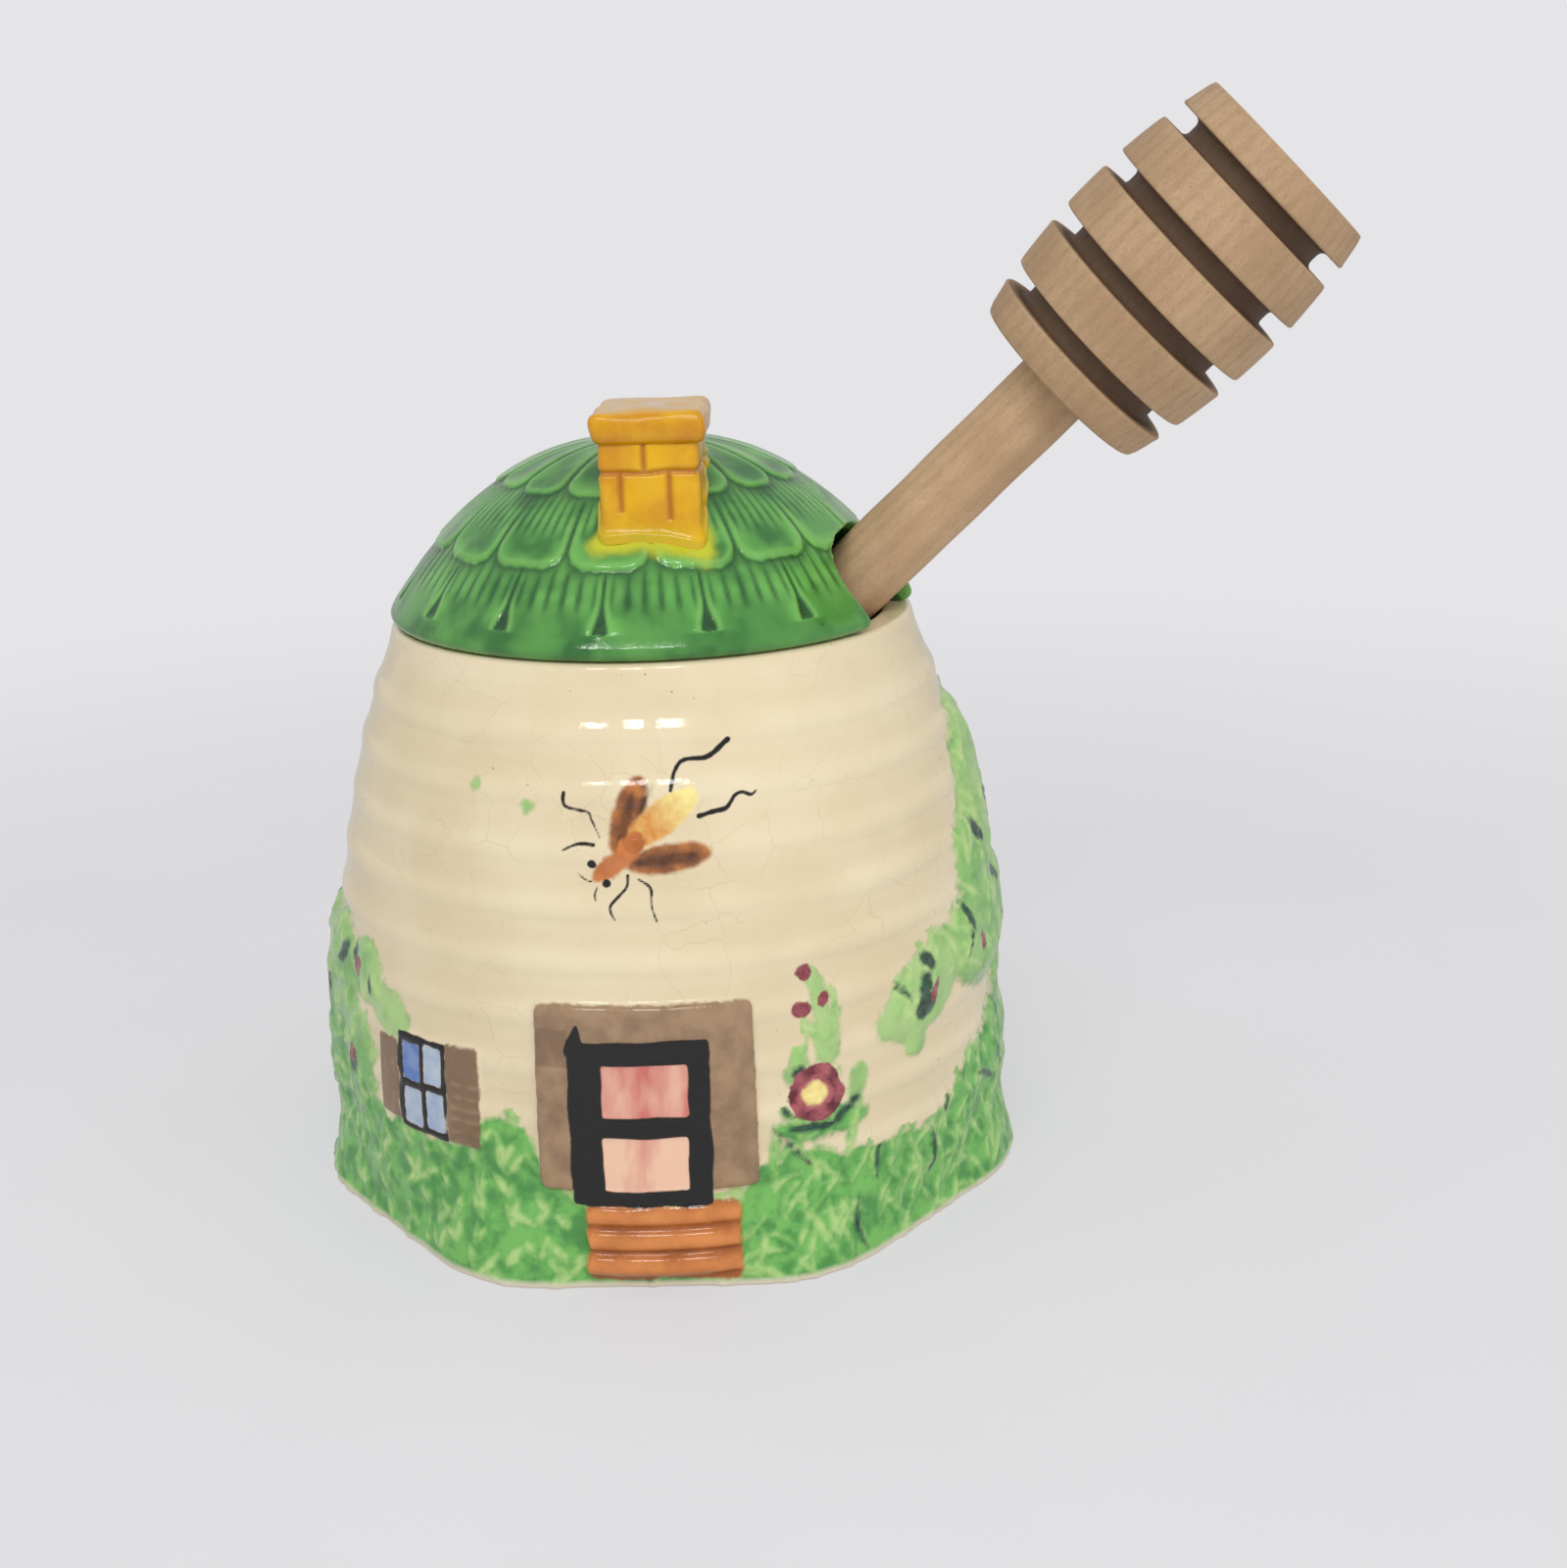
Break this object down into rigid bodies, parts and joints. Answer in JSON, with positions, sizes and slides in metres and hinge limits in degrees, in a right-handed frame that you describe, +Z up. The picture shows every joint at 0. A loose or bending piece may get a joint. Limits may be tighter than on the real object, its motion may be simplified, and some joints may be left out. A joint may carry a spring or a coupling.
{
  "type": "honey pot with dipper",
  "caption": "Ceramic honey pot shaped like a coiled beehive cottage, with a lift-off tiled roof lid, a chimney knob and a wooden dipper leaning out of a notch.",
  "frame": {"origin": "centre of the pot's foot, on the plane that it stands on", "axes": "+Z up along the pot's axis, -Y out of the painted door, +X to the right as seen from the door side, where the dipper leans out"},
  "size_m": [0.1322, 0.0937, 0.1369],
  "materials": {
    "cream_glaze": "gloss glaze over hand painting, finely crazed",
    "green_glaze": "gloss leaf-green glaze, dark where it pools",
    "yellow_glaze": "gloss golden-yellow glaze",
    "dipper_wood": "bare turned wood, satin"
  },
  "bodies": {
    "pot": {"pot_body": "cream_glaze"},
    "lid": {"lid_roof": "green_glaze", "chimney_knob": "yellow_glaze"},
    "dipper": {"dipper_handle": "dipper_wood", "dipper_head": "dipper_wood"}
  },
  "joints": [
    {"name": "lid_lift", "type": "slide", "parent": "pot", "child": "lid", "axis": [0, 0, 1], "range_m": [0, 0.08]},
    {"name": "dipper_draw", "type": "slide", "parent": "pot", "child": "dipper", "axis": [0.7049, -0.1434, 0.6947], "range_m": [0, 0.115]}
  ]
}
